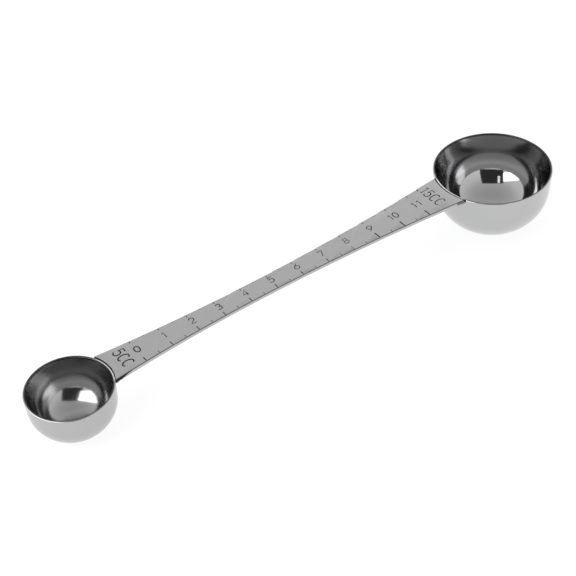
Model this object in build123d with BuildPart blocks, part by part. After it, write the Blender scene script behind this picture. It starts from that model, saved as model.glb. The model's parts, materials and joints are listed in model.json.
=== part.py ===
from build123d import *

import os
from collections import namedtuple
from math import asin, atan2, cos, degrees, hypot, radians, sin, sqrt, tan

# Double-ended steel measuring spoon: two pressed bowls welded to the ends of a flat, waisted plate.
# Lengths are in millimetres. The spoon lies as it does on a table, on the crowns of both bowls.
# The origin is on the table under the middle of its length, +X runs to the large bowl, +Z is up.

# Both bowls, pressed from one sheet
sheet = 0.8
rim_rounding = 0.3
bowl_spacing = 167.2

# Small bowl: outside radius at the rim, drafted wall, deep rounded corner, small crowned bottom
small_radius = 14.0
small_wall_height = 5.4
small_wall_draft = 2.5
small_corner_radius = 11.0
small_crown_radius = 30.0

# Large bowl, in the same order
large_radius = 20.5
large_wall_height = 7.4
large_wall_draft = 4.5
large_corner_radius = 16.0
large_crown_radius = 45.0

# Handle plate: widths at the waist and where the plate's corners meet the bowls
plate_thickness = 1.3
plate_above_rims = 0.5
waist_width = 7.7
waist_from_small_bowl = 68.0
small_end_width = 13.3
large_end_width = 16.2
top_edge_rounding = 0.3
under_edge_break = 0.15

# Weld beads under the two seats
weld_leg = 1.1
weld_bulge = 0.12
weld_setback = 0.9

# How far a cutter or a blank runs past what it trims
overrun = 1.0

Bowl = namedtuple("Bowl", "place radius height draft corner crown")
small = Bowl(0, small_radius, small_wall_height, small_wall_draft, small_corner_radius, small_crown_radius)
large = Bowl(
    bowl_spacing, large_radius, large_wall_height, large_wall_draft, large_corner_radius, large_crown_radius
)


def wall_radius(bowl, below_rim):
    """Outside radius of the drafted wall at a depth below the rim."""
    return bowl.radius - below_rim * tan(radians(bowl.draft))


def corner_centre(bowl):
    """Centre of the corner arc, which starts tangent to the foot of the wall."""
    lean = radians(bowl.draft)
    out = wall_radius(bowl, bowl.height) - bowl.corner * cos(lean)
    return out, bowl.corner * sin(lean) - bowl.height


def crown_centre_height(bowl):
    """Height of the crown arc's centre over the rim, so that the crown runs tangent into the corner."""
    out, up = corner_centre(bowl)
    return up + sqrt((bowl.crown - bowl.corner) ** 2 - out**2)


# The table touches both crowns, so the rims' common plane tips towards the smaller bowl
crown_rise = crown_centre_height(large) - crown_centre_height(small)
crown_reach = hypot(bowl_spacing, crown_rise)
tip = asin((large.crown - small.crown) / crown_reach) - atan2(crown_rise, bowl_spacing)
middle = (bowl_spacing + large_radius - small_radius) / 2
rim_plane = Plane(
    origin=(-middle * cos(tip), 0, small.crown - crown_centre_height(small) * cos(tip)),
    x_dir=(cos(tip), 0, sin(tip)),
    z_dir=(-sin(tip), 0, cos(tip)),
)


def rim_centre(bowl):
    """Middle of a bowl's rim."""
    return rim_plane.from_local_coords((bowl.place, 0, 0))


def bowl_axis(bowl):
    """The line that a bowl is turned about."""
    return Axis(rim_centre(bowl), rim_plane.z_dir)


def section_plane(bowl, turn=0):
    """Upright plane through a bowl's axis: X runs outwards at an angle from the spoon's length, Y is up."""
    outwards = rim_plane.x_dir.rotate(Axis((0, 0, 0), rim_plane.z_dir), turn)
    return Plane(rim_centre(bowl), x_dir=outwards, z_dir=outwards.cross(rim_plane.z_dir))


def filled_bowl(bowl, above_rim=0):
    """The bowl as a solid lump out to its outside skin, with its wall carried on above the rim if asked."""
    corner = corner_centre(bowl)
    crown_height = crown_centre_height(bowl)
    blend = degrees(atan2(corner[1] - crown_height, corner[0]))
    with BuildPart() as lump:
        with BuildSketch(section_plane(bowl, 90)):
            with BuildLine():
                top = (wall_radius(bowl, -above_rim), above_rim)
                Line((0, above_rim), top)
                Line(top, (wall_radius(bowl, bowl.height), -bowl.height))
                CenterArc(corner, bowl.corner, -bowl.draft, blend + bowl.draft)
                CenterArc((0, crown_height), bowl.crown, blend, -90 - blend)
                Line((0, crown_height - bowl.crown), (0, above_rim))
            make_face()
        revolve(axis=bowl_axis(bowl))
    return lump.part


def pressed_bowl(bowl):
    """Open sheet-metal bowl with a rounded rim."""
    with BuildPart() as piece:
        add(filled_bowl(bowl))
        mouth = piece.faces().sort_by(bowl_axis(bowl))[-1]
        offset(amount=-sheet, openings=mouth, kind=Kind.INTERSECTION)
        rim = piece.faces().sort_by(bowl_axis(bowl))[-1]
        fillet(rim.edges(), rim_rounding)
    return piece


def seat_angle(bowl, width):
    """Half the angle that a plate of this width takes up on the bowl's wall."""
    return degrees(asin(width / 2 / bowl.radius))


def weld_bead(bowl, facing, end_width):
    """Fillet bead in the corner between the bowl's wall and the underside of the plate."""
    reach = seat_angle(bowl, end_width - 2 * weld_setback)
    seat_height = plate_above_rims - plate_thickness
    root = (wall_radius(bowl, -seat_height), seat_height)
    plate_toe = (root[0] + weld_leg, seat_height)
    wall_toe = (wall_radius(bowl, weld_leg - seat_height), seat_height - weld_leg)
    with BuildPart() as bead:
        with BuildSketch(section_plane(bowl, facing - reach)):
            with BuildLine():
                Line(root, plate_toe)
                SagittaArc(plate_toe, wall_toe, -weld_bulge)
                Line(wall_toe, root)
            make_face()
        revolve(axis=bowl_axis(bowl), revolution_arc=2 * reach)
    return bead


# Bowls
small_bowl = pressed_bowl(small)
large_bowl = pressed_bowl(large)

# Handle: a waisted blank with tangent flanks, trimmed to both bowls' walls
small_corner = sqrt(small_radius**2 - (small_end_width / 2) ** 2)
large_corner = bowl_spacing - sqrt(large_radius**2 - (large_end_width / 2) ** 2)
blank_start = small_corner - overrun
blank_end = large_corner + overrun
plate_top = rim_plane.offset(plate_above_rims)
with BuildPart() as handle:
    with BuildSketch(plate_top):
        with BuildLine():
            waist = (waist_from_small_bowl, waist_width / 2)
            small_flank = TangentArc(waist, (blank_start, small_end_width / 2), tangent=(-1, 0))
            large_flank = TangentArc(waist, (blank_end, large_end_width / 2), tangent=(1, 0))
            Line(small_flank @ 1, (blank_start, 0))
            Line(large_flank @ 1, (blank_end, 0))
            mirror(about=Plane.XZ)
        make_face()
    extrude(amount=-plate_thickness)
    upwards = Axis(rim_plane.origin, rim_plane.z_dir)
    under_edges = handle.faces().sort_by(upwards)[0].edges().filter_by(GeomType.CIRCLE)
    chamfer(under_edges, under_edge_break)
    for bowl in (small, large):
        add(filled_bowl(bowl, plate_above_rims + overrun), mode=Mode.SUBTRACT)
    fillet(handle.faces().sort_by(upwards)[-1].edges(), top_edge_rounding)

# Welds, one under each seat: the plate leaves the small bowl along +X and the large one along -X
small_weld = weld_bead(small, 0, small_end_width)
large_weld = weld_bead(large, 180, large_end_width)

# One file for each piece
os.makedirs("parts", exist_ok=True)
small_bowl.part.label = "small_bowl"
export_step(small_bowl.part, "parts/small_bowl.step")
large_bowl.part.label = "large_bowl"
export_step(large_bowl.part, "parts/large_bowl.step")
handle.part.label = "handle"
export_step(handle.part, "parts/handle.step")
small_weld.part.label = "small_weld"
export_step(small_weld.part, "parts/small_weld.step")
large_weld.part.label = "large_weld"
export_step(large_weld.part, "parts/large_weld.step")
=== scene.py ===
# %% [markdown]
# This lesson dresses a double-ended steel measuring spoon. The solids of the spoon are already made and
# packed. Blender adds what a maker's hands and the light add: two mirror-bright bowls, a ruler struck into
# the plate, the ripples of the weld beads, the finish of each surface, and a small studio.
# Lengths in Blender are metres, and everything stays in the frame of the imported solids.

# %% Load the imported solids
import json
from math import asin, atan2, cos, degrees, hypot, pi, radians, sin, sqrt, tan

import bpy
from mathutils import Matrix, Vector

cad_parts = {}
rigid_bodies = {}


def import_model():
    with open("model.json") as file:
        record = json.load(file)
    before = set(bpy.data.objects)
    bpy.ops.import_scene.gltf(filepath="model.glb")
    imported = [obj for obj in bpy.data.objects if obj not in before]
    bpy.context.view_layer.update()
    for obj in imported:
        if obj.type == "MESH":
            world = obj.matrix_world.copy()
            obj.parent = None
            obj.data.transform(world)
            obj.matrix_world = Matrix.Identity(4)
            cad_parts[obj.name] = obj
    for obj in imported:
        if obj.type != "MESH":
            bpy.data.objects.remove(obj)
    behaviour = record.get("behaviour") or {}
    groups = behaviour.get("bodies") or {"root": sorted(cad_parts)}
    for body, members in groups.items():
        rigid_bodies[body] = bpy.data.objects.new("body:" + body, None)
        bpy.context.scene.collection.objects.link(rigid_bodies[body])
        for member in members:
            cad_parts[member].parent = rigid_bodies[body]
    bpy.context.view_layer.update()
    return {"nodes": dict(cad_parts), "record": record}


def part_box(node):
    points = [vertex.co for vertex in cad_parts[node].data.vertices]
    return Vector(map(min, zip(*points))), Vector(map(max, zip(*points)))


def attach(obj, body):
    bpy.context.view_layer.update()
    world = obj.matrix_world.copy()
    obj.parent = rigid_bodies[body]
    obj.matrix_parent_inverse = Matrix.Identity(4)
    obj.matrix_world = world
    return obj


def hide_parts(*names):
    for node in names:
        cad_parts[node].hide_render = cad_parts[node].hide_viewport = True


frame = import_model()
print("nodes:", sorted(frame["nodes"]))

# %% [markdown]
# The spoon doesn't lie level. Its bowls differ in depth, so the handle climbs a little towards the large one.
# It is easier to model in the spoon's own directions and to lay each finished piece down at the end. The
# record states a flat face on top of the handle, with a point at the waist and the direction that it faces,
# and that gives the whole placement. In the spoon's own frame X is the reading on the ruler in millimetres,
# Y runs across the handle, and Z is the height over the plate's top.

# %% The spoon's own directions
MM = 0.001
waist_reading = 44.0
top_face = next(m for m in frame["record"]["mounts"] if m["name"] == "handle_top")
upward = Vector(top_face["axis"]).normalized()
lengthwise = Vector((upward.z, 0, -upward.x))
crosswise = Vector((0, 1, 0))
ruler_zero = Vector(top_face["pos_m"]) - waist_reading * MM * lengthwise
lay_down = Matrix((
    (lengthwise.x, crosswise.x, upward.x, ruler_zero.x),
    (lengthwise.y, crosswise.y, upward.y, ruler_zero.y),
    (lengthwise.z, crosswise.z, upward.z, ruler_zero.z),
    (0, 0, 0, 1),
))
print("the handle climbs", round(degrees(asin(lengthwise.z)), 3), "degrees")

# %% [markdown]
# Operators act on whatever is selected, and loading leaves the solids selected. So each piece starts from an
# empty selection, and a few short helpers do what a modeller's fingers do: open a mesh, pick, and close it.

# %% Small helpers for modelling
def nothing_selected():
    if bpy.context.object and bpy.context.object.mode != "OBJECT":
        bpy.ops.object.mode_set(mode="OBJECT")
    bpy.ops.object.select_all(action="DESELECT")


def pick(*pieces):
    """Selects these objects alone, with the first one active."""
    nothing_selected()
    for piece in pieces:
        piece.select_set(True)
    bpy.context.view_layer.objects.active = pieces[0]
    return pieces[0]


def open_mesh(piece, everything=True):
    pick(piece)
    bpy.ops.object.mode_set(mode="EDIT")
    bpy.ops.mesh.select_all(action="SELECT" if everything else "DESELECT")


def close_mesh():
    bpy.ops.object.mode_set(mode="OBJECT")
    return bpy.context.object


def lay_in_place(piece):
    """Turns a piece that was made in the spoon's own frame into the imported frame, with its place in its mesh."""
    pick(piece)
    piece.matrix_world = lay_down @ piece.matrix_world
    bpy.ops.object.transform_apply(location=True, rotation=True, scale=True)
    return piece


def finish_piece(piece, name, node):
    """Names a finished piece and ties it to the solid that it stands for."""
    piece.name = name
    piece.data.name = name
    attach(piece, "root")
    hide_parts(node)
    corners = [piece.matrix_world @ Vector(c) for c in piece.bound_box]
    low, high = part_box(node)
    grown = [
        max(low[i] - min(c[i] for c in corners), max(c[i] for c in corners) - high[i]) / MM for i in range(3)
    ]
    triangles = sum(len(face.vertices) - 2 for face in piece.data.polygons)
    print(name, triangles, "triangles, past its solid's box by", [round(g, 3) for g in grown], "mm")


# %% [markdown]
# Each bowl is drawn from flat sheet: a punch pushes a disc through a ring, so the wall leans a little, the
# corner is a generous arc, and the bottom is a shallow crown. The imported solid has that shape, but a mirror
# shows every facet of a mesh. So the bowl is turned again from its profile with more steps. A lathe does
# the same thing: one line, spun about one axis. The line runs from the middle of the outside, up the wall,
# round the trimmed rim, and down the inside.

# %% The profile of a pressed bowl
SHEET = 0.8
RIM_ROUNDING = 0.3
RIM_BELOW_TOP = 0.5


def arc(centre, radius, start, stop, steps):
    """Points on an arc, angles in degrees, both ends included."""
    turns = [radians(start + (stop - start) * i / steps) for i in range(steps + 1)]
    return [(centre[0] + radius * cos(t), centre[1] + radius * sin(t)) for t in turns]


def bowl_profile(radius, height, draft, corner, crown):
    """The closed half section of a bowl, as radius and height over the rim."""
    lean = radians(draft)
    out = radius - height * tan(lean) - corner * cos(lean)
    up = corner * sin(lean) - height
    crown_up = up + sqrt((crown - corner) ** 2 - out**2)
    blend = degrees(atan2(up - crown_up, out))
    inward = SHEET / cos(lean)
    wall_steps = 10
    points = arc((0, crown_up), crown, -90, blend, 30)
    points += arc((out, up), corner, blend, -draft, 44)[1:]
    foot = points[-1]
    shoulder = (radius - RIM_ROUNDING * tan(lean), -RIM_ROUNDING)
    points += [
        (foot[0] + (shoulder[0] - foot[0]) * i / wall_steps, foot[1] + (shoulder[1] - foot[1]) * i / wall_steps)
        for i in range(1, wall_steps + 1)
    ]
    points += arc((shoulder[0] - RIM_ROUNDING, -RIM_ROUNDING), RIM_ROUNDING, 0, 90, 6)[1:]
    inner = shoulder[0] - inward
    points += arc((inner + RIM_ROUNDING, -RIM_ROUNDING), RIM_ROUNDING, 90, 180, 6)
    inside = arc((out, up), corner - SHEET, -draft, blend, 44)
    points += [
        (inner + (inside[0][0] - inner) * i / wall_steps, -RIM_ROUNDING + (inside[0][1] + RIM_ROUNDING) * i / wall_steps)
        for i in range(1, wall_steps)
    ]
    points += inside
    points += arc((0, crown_up), crown - SHEET, blend, -90, 30)[1:]
    return points


def turned_bowl(reading, profile, steps=288):
    """Draws the profile vertex by vertex and spins it once round the bowl's axis."""
    nothing_selected()
    axis_at = Vector((reading * MM, 0, -RIM_BELOW_TOP * MM))
    first = axis_at + Vector((profile[0][0] * MM, 0, profile[0][1] * MM))
    bpy.ops.mesh.primitive_plane_add(size=2 * MM, location=first)
    bowl = bpy.context.object
    open_mesh(bowl)
    bpy.ops.mesh.merge(type="CENTER")
    for here, there in zip(profile, profile[1:]):
        step = ((there[0] - here[0]) * MM, 0, (there[1] - here[1]) * MM)
        bpy.ops.mesh.extrude_region_move(TRANSFORM_OT_translate={"value": step})
    bpy.ops.mesh.select_all(action="SELECT")
    bpy.ops.mesh.spin(steps=steps, angle=2 * pi, center=axis_at, axis=(0, 0, 1))
    bpy.ops.mesh.select_all(action="SELECT")
    bpy.ops.mesh.remove_doubles(threshold=0.0005 * MM)
    bpy.ops.mesh.normals_make_consistent(inside=False)
    close_mesh()
    bpy.ops.object.transform_apply(location=True, rotation=True, scale=True)
    bpy.ops.object.shade_smooth()
    return lay_in_place(bowl)


# %% Turn both bowls
SMALL_CENTRE = -24.0
LARGE_CENTRE = 143.2
small_profile = bowl_profile(radius=14.0, height=5.4, draft=2.5, corner=11.0, crown=30.0)
large_profile = bowl_profile(radius=20.5, height=7.4, draft=4.5, corner=16.0, crown=45.0)
small_bowl = turned_bowl(SMALL_CENTRE, small_profile)
finish_piece(small_bowl, "small_bowl_polished", "small_bowl")
large_bowl = turned_bowl(LARGE_CENTRE, large_profile)
finish_piece(large_bowl, "large_bowl_polished", "large_bowl")

# %% [markdown]
# The handle is stamped from plate, and a ruler is struck into its top: a tick every half centimetre along
# both edges, numbers beside the near ticks, and the measure of each bowl beside it. The plate's outline,
# its trimmed ends and its rounded edges are right in the solid, so a copy of the solid is the blank here.
# The marks could be painted as a texture, but a struck mark is a groove that catches the light, so each
# one is cut out of the blank with a tool of its real width.

# %% The blank for the handle
nothing_selected()
pick(frame["nodes"]["handle"])
bpy.ops.object.duplicate()
handle = bpy.context.object
bpy.ops.object.parent_clear(type="CLEAR_KEEP_TRANSFORM")
for key in list(handle.keys()):
    if key.startswith("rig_"):
        del handle[key]
open_mesh(handle)
bpy.ops.mesh.customdata_custom_splitnormals_clear()
bpy.ops.mesh.remove_doubles(threshold=0.0005 * MM)
bpy.ops.mesh.dissolve_limited(angle_limit=radians(0.2))
close_mesh()
print("blank has", len(handle.data.polygons), "faces")

# %% [markdown]
# The tool that strikes the marks has a rounded nose. A tick is one short stroke of it: a little sphere whose
# far half is pulled away to the tick's length. It is modelled once for each length and copied along the
# edge, so that all ticks are alike, as a die makes them.

# %% Ticks
GROOVE_WIDTH = 0.38
GROOVE_DEPTH = 0.15
nose = (GROOVE_WIDTH**2 / 4 + GROOVE_DEPTH**2) / 2 / GROOVE_DEPTH
nose_height = nose - GROOVE_DEPTH


HALF_WAIST = 3.85


def flank_radius(reach, half_end):
    """Radius of the arc that leaves the waist along the spoon and reaches the corner of an end."""
    spread = half_end - HALF_WAIST
    return (reach**2 + spread**2) / 2 / spread


SMALL_FLANK = flank_radius(waist_reading + 12.68, 6.65)
LARGE_FLANK = flank_radius(125.37 - waist_reading, 8.1)


def half_width(reading):
    """Half the plate's width at a ruler reading."""
    bend = SMALL_FLANK if reading < waist_reading else LARGE_FLANK
    return HALF_WAIST + bend - sqrt(bend**2 - (reading - waist_reading) ** 2)


def tick_tool(length, bold=1.0):
    """A stroke of the rounded tool along Y, from zero to length."""
    nothing_selected()
    bpy.ops.mesh.primitive_uv_sphere_add(segments=16, ring_count=10, radius=nose * bold * MM, rotation=(pi / 2, 0, 0))
    tool = bpy.context.object
    bpy.ops.object.transform_apply(location=False, rotation=True, scale=False)
    for vertex in tool.data.vertices:
        vertex.select = vertex.co.y > 0.0001 * MM
    for edge in tool.data.edges:
        edge.select = all(tool.data.vertices[v].select for v in edge.vertices)
    for face in tool.data.polygons:
        face.select = all(tool.data.vertices[v].select for v in face.vertices)
    bpy.ops.object.mode_set(mode="EDIT")
    bpy.ops.transform.translate(value=(0, (length - GROOVE_WIDTH * bold) * MM, 0))
    close_mesh()
    return tool


def copies(tool, places):
    """One copy of a tool, with a mesh of its own, at each place. The pattern itself is removed."""
    made = []
    for place in places:
        copy = tool.copy()
        copy.data = tool.data.copy()
        copy.location = Vector(place) * MM
        bpy.context.collection.objects.link(copy)
        made.append(copy)
    bpy.data.objects.remove(tool)
    return made


EDGE_GAP = 0.3
marks = []
short_readings = [5.0 * i for i in range(1, 23, 2)]
whole_readings = [10.0 * i for i in range(9)]
last_readings = [90.0, 100.0, 110.0]
near_rows = ((short_readings, 1.0, 0.62), (whole_readings, 1.8, 1.0), (last_readings, 2.9, 1.25))
far_rows = ((short_readings, 0.45, 0.6), (whole_readings + last_readings + [115.0], 0.95, 0.75))
for readings, length, bold in near_rows:
    starts = [(r, -half_width(r) + EDGE_GAP + GROOVE_WIDTH / 2, nose_height * bold) for r in readings]
    marks += copies(tick_tool(length, bold), starts)
for readings, length, bold in far_rows:
    starts = [(r, half_width(r) - EDGE_GAP - length + GROOVE_WIDTH / 2, nose_height * bold) for r in readings]
    marks += copies(tick_tool(length, bold), starts)
print(len(marks), "ticks")

# %% [markdown]
# The numbers are single strokes of the same tool, as on an engraver's template. Each figure is drawn on a
# grid two wide and three high, from straight runs and parts of ellipses. A curve with a round bevel turns
# such a stroke into a tool path, and it is made a mesh before it is moved.

# %% Figures and letters
def oval(x, y, across, along, start, stop, steps=20):
    turns = [radians(start + (stop - start) * i / steps) for i in range(steps + 1)]
    return [(x + across * cos(t), y + along * sin(t)) for t in turns]


STROKES = {
    "0": [oval(1, 1.5, 1, 1.5, 90, 450, 28)],
    "1": [[(0.3, 2.35), (1, 3), (1, 0)]],
    "2": [oval(1, 2.1, 0.95, 0.9, 165, -38) + [(0, 0), (2, 0)]],
    "3": [oval(1, 2.25, 0.85, 0.75, 150, -90) + oval(1, 0.78, 0.98, 0.78, 90, -150)],
    "4": [[(1.5, 0), (1.5, 3), (0, 0.9), (2, 0.9)]],
    "5": [[(1.85, 3), (0.35, 3), (0.2, 1.6)] + oval(0.95, 0.98, 1, 0.98, 125, -150)],
    "6": [[(1.65, 3)] + oval(1, 0.95, 1, 0.95, 160, 520, 28)],
    "7": [[(0, 3), (2, 3), (0.7, 0)]],
    "8": [oval(1, 2.28, 0.78, 0.74, -55, 235, 20), oval(1, 0.78, 1, 0.78, 90, 450, 24)],
    "9": [[(0.35, 0)] + oval(1, 2.05, 1, 0.95, -20, 340, 28)],
    "C": [oval(1.1, 1.5, 1.1, 1.5, 48, 312, 24)],
}


def stroke_mesh(sign, width, height, bold):
    """One figure as a rounded tool path that lies in the XY plane with its lower left corner at the origin."""
    nothing_selected()
    lines = bpy.data.curves.new("stroke", "CURVE")
    lines.dimensions = "3D"
    lines.bevel_depth = nose * bold * MM
    lines.bevel_resolution = 3
    lines.use_fill_caps = True
    for points in STROKES[sign]:
        closed = (Vector(points[0]) - Vector(points[-1])).length < 0.001
        kept = points[:-1] if closed else points
        spline = lines.splines.new("POLY")
        spline.points.add(len(kept) - 1)
        for point, (x, y) in zip(spline.points, kept):
            point.co = (x / 2 * width * MM, y / 3 * height * MM, 0, 1)
        spline.use_cyclic_u = closed
    figure = bpy.data.objects.new("stroke", lines)
    bpy.context.collection.objects.link(figure)
    pick(figure)
    bpy.ops.object.convert(target="MESH")
    return bpy.context.object


def strike(text, centre, height, width, gap, narrow_one, turn=0, bold=1.0):
    """Figures of a word side by side, centred on a point of the plate and turned about it."""
    widths = [narrow_one if sign == "1" else width for sign in text]
    total = sum(widths) + gap * (len(text) - 1)
    left = -total / 2
    made = []
    for sign, room in zip(text, widths):
        figure = stroke_mesh(sign, width, height, bold)
        shift = left + (room - width) / 2
        figure.location = Vector((shift, -height / 2, 0)) * MM
        bpy.ops.object.transform_apply(location=True, rotation=False, scale=False)
        figure.rotation_euler = (0, 0, radians(turn))
        figure.location = Vector((*centre, nose_height * bold)) * MM
        made.append(figure)
        left += room + gap
    return made


FIGURE_HEIGHT = 3.0
FIGURE_WIDTH = 1.75
FIGURE_MIDDLE = 0.8
FIGURE_SHIFT = 0.3
FIGURE_BOLD = {0: 1.15, 6: 0.8, 9: 0.85, 11: 1.15}
for number in range(12):
    marks += strike(
        str(number),
        (10.0 * number + FIGURE_SHIFT, FIGURE_MIDDLE),
        FIGURE_HEIGHT - GROOVE_WIDTH,
        FIGURE_WIDTH,
        gap=1.2 if number == 11 else 0.6,
        narrow_one=0.9,
        bold=FIGURE_BOLD.get(number, 1.0),
    )
marks += strike("5CC", (-4.8, 0.4), 3.75, 2.0, 0.8, 0.8, turn=-90, bold=1.25)
marks += strike("15CC", (116.9, 0.4), 3.85, 2.0, 0.8, 0.7, turn=-90, bold=1.1)
print(len(marks), "strokes of the tool in all")

# %% [markdown]
# All strokes are joined into one cutter and taken out of the blank with an exact boolean. The cutter carries
# the finish of the grooves, and the boolean hands that finish on to each face that it leaves.

# %% Cut the marks into the blank
plate_finish = bpy.data.materials.new("plate_steel")
groove_finish = bpy.data.materials.new("struck_groove")
handle.data.materials.clear()
handle.data.materials.append(plate_finish)
pick(*marks)
bpy.ops.object.join()
cutter = bpy.context.object
cutter.data.materials.clear()
cutter.data.materials.append(groove_finish)
bpy.ops.object.transform_apply(location=True, rotation=True, scale=True)
lay_in_place(cutter)
open_mesh(cutter)
bpy.ops.mesh.normals_make_consistent(inside=False)
close_mesh()
pick(handle)
cut = handle.modifiers.new("marks", "BOOLEAN")
cut.operation = "DIFFERENCE"
cut.solver = "EXACT"
cut.use_self = True
cut.material_mode = "TRANSFER"
cut.object = cutter
bpy.ops.object.modifier_apply(modifier=cut.name)
bpy.data.objects.remove(cutter)
bpy.ops.object.shade_smooth_by_angle(angle=radians(30))
finish_piece(handle, "handle_struck", "handle")

# %% [markdown]
# Under each seat a bead of weld fills the corner between the plate and the bowl. A bead isn't smooth: the
# pool freezes in overlapping scales as the torch moves along. So the bead is made of scales. One scale is
# a squashed ball, it is copied round the bowl's wall at even steps, and a fine remesh melts them into one.

# %% Weld beads
def weld(name, node, reading, radius, facing, half_angle, draft):
    """A row of overlapping scales in the corner under a seat. Facing is +1 or -1 along the spoon."""
    pitch = 0.62
    seat_z = -1.3
    wall = radius + 0.5 * tan(radians(draft)) + seat_z * tan(radians(draft))
    nothing_selected()
    bpy.ops.mesh.primitive_uv_sphere_add(segments=20, ring_count=12, radius=0.5 * MM)
    scale_ball = bpy.context.object
    scale_ball.scale = (1.35, 1.1, 1.35)
    bpy.ops.object.transform_apply(location=False, rotation=False, scale=True)
    ride_out = 0.28
    ride_down = 0.28
    count = int(2 * radians(half_angle) * wall / pitch)
    places = []
    for i in range(count + 1):
        turn = radians(half_angle) * (2 * i / count - 1) * 0.96
        far = wall + ride_out
        places.append((reading + facing * far * cos(turn), far * sin(turn), seat_z - ride_down))
    beads = copies(scale_ball, places)
    for bead, (x, y, z) in zip(beads, places):
        bead.rotation_euler = (0, 0, atan2(y, x - reading))
    pick(*beads)
    bpy.ops.object.join()
    bead = bpy.context.object
    bpy.ops.object.transform_apply(location=True, rotation=True, scale=True)
    melt = bead.modifiers.new("melt", "REMESH")
    melt.mode = "VOXEL"
    melt.voxel_size = 0.07 * MM
    bpy.ops.object.modifier_apply(modifier=melt.name)
    bpy.ops.object.shade_smooth()
    lay_in_place(bead)
    finish_piece(bead, name, node)
    return bead


small_weld = weld("small_weld_bead", "small_weld", SMALL_CENTRE, 14.0, 1, 24.2, 2.5)
large_weld = weld("large_weld_bead", "large_weld", LARGE_CENTRE, 20.5, -1, 20.5, 4.5)

# %% [markdown]
# A shader is a small sum. Written as nodes by hand it is long to read, so a socket is wrapped in a class that
# knows plus, minus, times and power, and one method adds any other node: its kind, its settings, then the
# values or links of its sockets.

# %% Shader sums in plain Python
class Level:
    """A value in a shader graph."""

    def __init__(self, graph, socket):
        self.graph, self.socket = graph, socket

    def sums(self, operation, *terms):
        return self.graph.node("ShaderNodeMath", list(terms), operation=operation)

    def __add__(self, other):
        return self.sums("ADD", self, other)

    __radd__ = __add__

    def __sub__(self, other):
        return self.sums("SUBTRACT", self, other)

    def __rsub__(self, other):
        return self.sums("SUBTRACT", other, self)

    def __mul__(self, other):
        return self.sums("MULTIPLY", self, other)

    __rmul__ = __mul__

    def __truediv__(self, other):
        return self.sums("DIVIDE", self, other)

    def __pow__(self, other):
        return self.sums("POWER", self, other)

    def __gt__(self, other):
        return self.sums("GREATER_THAN", self, other)


class Graph:
    """The node tree of a material or of the world."""

    def __init__(self, owner):
        owner.use_nodes = True
        self.tree = owner.node_tree
        self.tree.nodes.clear()

    def node(self, kind, inputs=(), out=0, stops=None, **settings):
        made = self.tree.nodes.new(kind)
        for name, value in settings.items():
            setattr(made, name, value)
        if stops:
            ramp = made.color_ramp.elements
            while len(ramp) < len(stops):
                ramp.new(0.5)
            for element, (at, level) in zip(ramp, stops):
                element.position = at
                element.color = (level, level, level, 1)
        pairs = inputs.items() if isinstance(inputs, dict) else enumerate(inputs)
        for key, value in pairs:
            socket = made.inputs[key]
            if isinstance(value, Level):
                self.tree.links.new(value.socket, socket)
            elif value is not None:
                socket.default_value = value
        return Level(self, made.outputs[out])

    def finish(self, shader, kind="ShaderNodeOutputMaterial"):
        end = self.tree.nodes.new(kind)
        self.tree.links.new(shader.socket, end.inputs[0])


# %% [markdown]
# Stainless steel for kitchen tools is a plain grey metal. What tells one finish from another is how fine the
# polish is, and which way it runs. The bowls are buffed on a spinning wheel until they mirror, with only a
# breath of haze round the axis. The plate is buffed along its length and stays a little softer. The beads
# are brushed over and keep the straw and grey of the heat.

# %% Finishes
STEEL = 0.47


def grey(level):
    return (level, level, level * 1.005, 1)


def own_frame(graph, reading=0.0, below=0.0, flat=False):
    """Object coordinates in the spoon's own frame, in millimetres from a reading on the ruler."""
    spot = graph.node("ShaderNodeTexCoord", out=3)
    back = lay_down.to_3x3().transposed()
    start = back @ (lay_down @ (Vector((reading, 0, -below)) * MM))
    local = graph.node("ShaderNodeMapping", {0: spot, 1: tuple(-start / MM), 2: tuple(back.to_euler()), 3: (1 / MM,) * 3})
    return graph.node("ShaderNodeMapping", {0: local, 3: (1, 1, 0)}) if flat else local


def part_of(graph, vector, axis):
    return graph.node("ShaderNodeSeparateXYZ", [vector], out=axis)


def length_of(graph, vector):
    return graph.node("ShaderNodeVectorMath", {0: vector}, out=1, operation="LENGTH")


def fade(graph, value, start, stop, first=0.0, last=1.0):
    """Goes smoothly from the first level to the last as the value goes from start to stop."""
    return graph.node("ShaderNodeMapRange", [value, start, stop, first, last], interpolation_type="SMOOTHSTEP")


def mixed(graph, share, first, last):
    return graph.node("ShaderNodeMix", {0: share, 6: first, 7: last}, out=2, data_type="RGBA")


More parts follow.
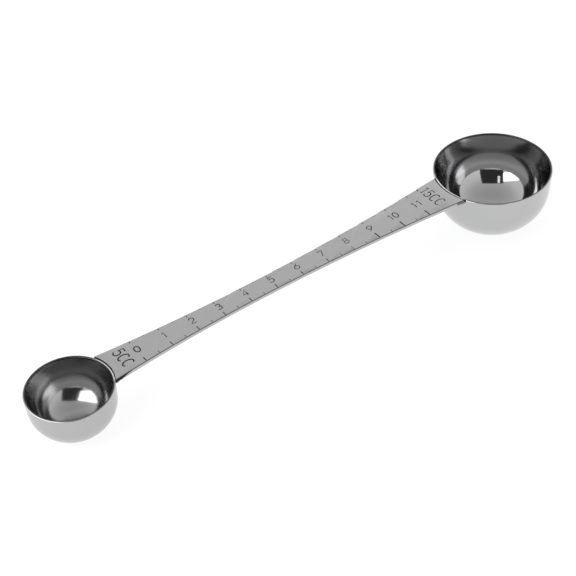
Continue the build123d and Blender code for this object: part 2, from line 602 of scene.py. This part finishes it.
def bowl_finish(name, reading, radius, draft, wall, seat, rim_highlight_level, wall_foot, haze_level, level, wall_shade_level):
    material = bpy.data.materials.new(name)
    graph = Graph(material)
    local = own_frame(graph, reading, RIM_BELOW_TOP)
    away = length_of(graph, graph.node("ShaderNodeMapping", {0: local, 3: (1, 1, 0)}))
    height = part_of(graph, local, 2)
    rings = length_of(graph, local)
    cloud = graph.node("ShaderNodeTexNoise", {"Vector": local, "Scale": 0.09, "Detail": 3.0})
    haze = graph.node("ShaderNodeTexNoise", {"W": rings, "Scale": 3.0, "Detail": 2.0}, noise_dimensions="1D")
    rough = haze_level + cloud * 0.03 + haze * 0.012 + fade(graph, height, wall_foot, wall_foot + 3.5, 0.0, 0.07)
    tone = mixed(graph, cloud, grey(level - 0.015), grey(level + 0.015))
    # Painted shade: the upper inside wall of each bowl gets a darker grey in place of the shade it shows.
    inward = fade(graph, away - height * tan(radians(draft)), radius - 0.3, radius - 0.5)
    painted_wall_shade = inward * fade(graph, height, -wall - 1.0, -wall + 2.0)
    tone = mixed(graph, painted_wall_shade, tone, grey(wall_shade_level))
    # Painted reflection: a near-black line on the rim's inner rounding, in place of the dark that it reflects.
    inner_lip_shade = fade(graph, height, -0.7, -0.45) * fade(graph, away, radius - 0.28, radius - 0.4)
    # Painted highlight: the rim's outer rounding gets a paler grey than the rest of the bowl.
    outer_lip_highlight = fade(graph, height, -0.26, -0.12) * fade(graph, away, radius - 0.26, radius - 0.18)
    tone = mixed(graph, inner_lip_shade, tone, grey(0.08))
    tone = mixed(graph, outer_lip_highlight, tone, grey(0.54))
    # Painted highlight: the top of the rim beside the handle is made nearly white, in place of the light it catches.
    toward_plate = part_of(graph, local, 0) * (1 if seat > 0 else -1)
    at_seat = fade(graph, toward_plate, abs(seat) - 0.5, abs(seat) + 0.3)
    rim_top = fade(graph, height, -0.3, -0.12) * fade(graph, away, radius - 0.64, radius - 0.52)
    tone = mixed(graph, at_seat * rim_top, tone, grey(rim_highlight_level))
    relief = graph.node("ShaderNodeBump", {"Strength": 0.02, "Distance": 0.00002, "Height": haze})
    shader = graph.node(
        "ShaderNodeBsdfPrincipled",
        {"Base Color": tone, "Metallic": 1.0, "Roughness": rough, "Normal": relief},
    )
    graph.finish(shader)
    return material


def plate_graph(material):
    graph = Graph(material)
    local = own_frame(graph)
    x, y, z = (part_of(graph, local, axis) for axis in range(3))
    along = graph.node("ShaderNodeMapping", {0: local, 3: (0.05, 9.0, 9.0)})
    grain = graph.node("ShaderNodeTexNoise", {"Vector": along, "Scale": 1.0, "Detail": 4.0})
    cloud = graph.node("ShaderNodeTexNoise", {"Vector": local, "Scale": 0.25, "Detail": 4.0})
    tone = mixed(graph, grain * 0.5 + cloud * 0.5, grey(STEEL - 0.03), grey(STEEL + 0.07))
    across = graph.node("ShaderNodeMath", [y], operation="ABSOLUTE")
    bend = SMALL_FLANK + (x > waist_reading) * (LARGE_FLANK - SMALL_FLANK)
    off_waist = x - waist_reading
    off_middle = bend + HALF_WAIST - across
    inside_edge = (off_waist * off_waist + off_middle * off_middle) ** 0.5 - bend
    # Painted reflection: a dark line on the rounding of the plate's top edge, in place of the dark room it reflects.
    edge_shade_line = fade(graph, inside_edge, 0.38, 0.22) * fade(graph, z, -0.3, -0.15)
    tone = mixed(graph, edge_shade_line * 0.75, tone, grey(0.12))
    # Painted shade: near-black lines along both seats, in place of the shadow in the crevice between rim and plate.
    small_seam = length_of(graph, own_frame(graph, SMALL_CENTRE, flat=True)) - 14.0
    large_seam = length_of(graph, own_frame(graph, LARGE_CENTRE, flat=True)) - 20.5
    tone = mixed(graph, fade(graph, small_seam, 0.24, 0.12) * fade(graph, z, -0.22, -0.34), tone, grey(0.015))
    tone = mixed(graph, fade(graph, large_seam, 0.66, 0.54), tone, grey(0.015))
    # Painted shade: near-black patches on the plate's sides by the small seat and by the large seat (spot), in place
    # of the shade the sides reflect there.
    side_shade_foot = z - fade(graph, x, -11.5, -5.4, -1.5, -0.2)
    side_shade = fade(graph, x, -5.0, -6.0) * fade(graph, side_shade_foot, -0.1, 0.1) * fade(graph, z, -0.02, -0.12)
    spot = fade(graph, x, 120.2, 121.4, 0.0, 0.7) * fade(graph, z, -0.02, -0.12)
    tone = mixed(graph, side_shade + spot, tone, grey(0.025))
    relief = graph.node("ShaderNodeBump", {"Strength": 0.08, "Distance": 0.00002, "Height": grain})
    shader = graph.node(
        "ShaderNodeBsdfPrincipled",
        {"Base Color": tone, "Metallic": 1.0, "Roughness": 0.16 + grain * 0.1, "Normal": relief},
    )
    graph.finish(shader)


def groove_graph(material):
    graph = Graph(material)
    local = own_frame(graph)
    grit = graph.node("ShaderNodeTexNoise", {"Vector": local, "Scale": 2.5, "Detail": 3.0})
    reading = part_of(graph, local, 0)
    worn = fade(graph, reading, 2.0, 12.0) - fade(graph, reading, 84.0, 88.0, 0.0, 0.7)
    tone = mixed(graph, grit * worn, grey(0.02), grey(0.16))
    rubbed = fade(graph, reading, 76.5, 78.0) * fade(graph, reading, 83.5, 82.0, 0.0, 0.8)
    tone = mixed(graph, rubbed, tone, grey(0.34))
    shader = graph.node(
        "ShaderNodeBsdfPrincipled",
        {"Base Color": tone, "Metallic": 0.8, "Roughness": 0.45 + grit * 0.2},
    )
    graph.finish(shader)


def weld_finish(name):
    material = bpy.data.materials.new(name)
    graph = Graph(material)
    spot = graph.node("ShaderNodeTexCoord", out=3)
    cloud = graph.node("ShaderNodeTexNoise", {"Vector": spot, "Scale": 900.0, "Detail": 4.0})
    fine = graph.node("ShaderNodeTexNoise", {"Vector": spot, "Scale": 6000.0, "Detail": 2.0})
    tone = graph.node(
        "ShaderNodeMix",
        {0: cloud, 6: (0.34, 0.32, 0.29, 1), 7: (0.55, 0.54, 0.52, 1)},
        out=2,
        data_type="RGBA",
    )
    relief = graph.node("ShaderNodeBump", {"Strength": 0.2, "Distance": 0.00003, "Height": fine})
    shader = graph.node(
        "ShaderNodeBsdfPrincipled",
        {"Base Color": tone, "Metallic": 1.0, "Roughness": 0.3 + cloud * 0.2, "Normal": relief},
    )
    graph.finish(shader)
    return material


plate_graph(plate_finish)
groove_graph(groove_finish)
for piece, reading, radius, draft, wall, seat, rim_highlight_level, wall_foot, haze_level, level, wall_shade_level in (
    (small_bowl, SMALL_CENTRE, 14.0, 2.5, 5.4, 12.32, 0.85, -10.5, 0.13, 0.46, 0.37),
    (large_bowl, LARGE_CENTRE, 20.5, 4.5, 7.4, -18.83, 0.9, -14.5, 0.055, 0.5, 0.37),
):
    finish = bowl_finish(
        piece.name + "_finish", reading, radius, draft, wall, seat, rim_highlight_level, wall_foot, haze_level, level, wall_shade_level
    )
    piece.data.materials.clear()
    piece.data.materials.append(finish)
beads_finish = weld_finish("brushed_bead")
for piece in (small_weld, large_weld):
    piece.data.materials.clear()
    piece.data.materials.append(beads_finish)
print("finishes:", [m.name for m in bpy.data.materials if m.users])

# %% [markdown]
# The camera stands where the photographer stood. Its place, direction and lens were worked out from points
# that can be measured on the real spoon: the ruler's ticks, the corners of the handle and both rims.

# %% Camera
camera_data = bpy.data.cameras.new("camera")
camera = bpy.data.objects.new("camera", camera_data)
bpy.context.scene.collection.objects.link(camera)
bpy.context.scene.camera = camera
camera_data.sensor_width = 36.0
camera_data.lens = 90.03
camera_data.clip_start = 0.01
camera_data.clip_end = 20.0
rightward = Vector((0.8132801, -0.58093151, -0.03307664))
downward = Vector((-0.3977997, -0.51361764, -0.76023175))
forward = Vector((0.42465383, 0.63143923, -0.64880939))
camera.matrix_world = Matrix((
    (rightward.x, -downward.x, -forward.x, -0.20412),
    (rightward.y, -downward.y, -forward.y, -0.2936),
    (rightward.z, -downward.z, -forward.z, 0.315076),
    (0, 0, 0, 1),
))
heading = atan2(forward.x, forward.y)
print("the camera looks", round(degrees(asin(-forward.z)), 1), "degrees down")

# %% [markdown]
# Polished steel has no colour of its own to show. It shows the room. The bowls of the photographed spoon
# mirror a soft lamp on the left, the dark side of the room behind the camera, a grey ceiling and a white
# table, so the studio has each of these at its real size and distance. The table and the far background
# are white to the camera and in reflections, and the table keeps a soft shadow.

# %% Floor and background
TABLE_OWN_WHITE = 0.86
TABLE_LIT_WHITE = 0.24


def rays_that_show(graph):
    """One for rays from the camera, mirrors and glass, and nothing for the light itself."""
    path = graph.tree.nodes.new("ShaderNodeLightPath")
    seen = [Level(graph, path.outputs[name]) for name in ("Is Camera Ray", "Is Glossy Ray", "Is Transmission Ray")]
    return seen[0], seen[1], seen[0] + seen[1] + seen[2]


nothing_selected()
bpy.ops.mesh.primitive_plane_add(size=6.0, location=(0, 0, 0))
table = bpy.context.object
table.name = "table"
table_finish = bpy.data.materials.new("white_table")
graph = Graph(table_finish)
shown = rays_that_show(graph)[2]
lit = graph.node("ShaderNodeBsdfDiffuse", {"Color": grey(TABLE_LIT_WHITE)})
own = graph.node("ShaderNodeEmission", {"Color": grey(1.0), "Strength": shown * TABLE_OWN_WHITE})
graph.finish(graph.node("ShaderNodeAddShader", [lit, own]))
table.data.materials.append(table_finish)

world = bpy.data.worlds.new("studio")
bpy.context.scene.world = world
graph = Graph(world)
seen, mirrored, shown = rays_that_show(graph)
toward = graph.node("ShaderNodeTexCoord", out=0)
parts = graph.tree.nodes.new("ShaderNodeSeparateXYZ")
graph.tree.links.new(toward.socket, parts.inputs[0])
height = Level(graph, parts.outputs[2])
ceiling = graph.node(
    "ShaderNodeValToRGB",
    {0: height},
    stops=[(0.0, 1.0), (0.4, 0.95), (0.65, 0.84), (0.85, 0.62), (1.0, 0.5)],
)
plain = graph.node("ShaderNodeBackground", {"Color": grey(1.0), "Strength": 0.75})
white = graph.node("ShaderNodeBackground", {"Color": grey(1.0), "Strength": 1.0})
room = graph.node("ShaderNodeBackground", {"Color": ceiling, "Strength": 1.0})
other = graph.node("ShaderNodeMixShader", [mirrored, plain, room])
graph.finish(graph.node("ShaderNodeMixShader", [seen, other, white]), "ShaderNodeOutputWorld")

# %% Lamp and dark cards
def card(name, corners, level):
    """A flat card in the studio, between four corners in millimetres, with an even light of its own."""
    nothing_selected()
    bpy.ops.mesh.primitive_plane_add(size=1.0)
    made = bpy.context.object
    made.name = name
    for vertex, corner in zip(made.data.vertices, corners):
        vertex.co = Vector(corner) * MM
    finish = bpy.data.materials.new(name + "_finish")
    sheet = Graph(finish)
    sheet.finish(sheet.node("ShaderNodeEmission", {"Color": grey(1.0), "Strength": level}))
    made.data.materials.append(finish)
    made.visible_camera = False
    return made


lamp = card("soft_lamp", ((-313, -153, 225), (-187, -53, 314), (-410, 130, 25), (-281, 230, 78)), 3.0)
strip = card("lamp_strip", ((-233, -189, 298), (-185, -130, 235), (-154, -108, 400), (-124, -68, 321)), 1.6)
dark = card("dark_room", ((-555, -268, 251), (-125, -717, 275), (-231, -41, 414), (25, -282, 460)), 0.04)

# %% Colour
view = bpy.context.scene.view_settings
view.view_transform = "Standard"
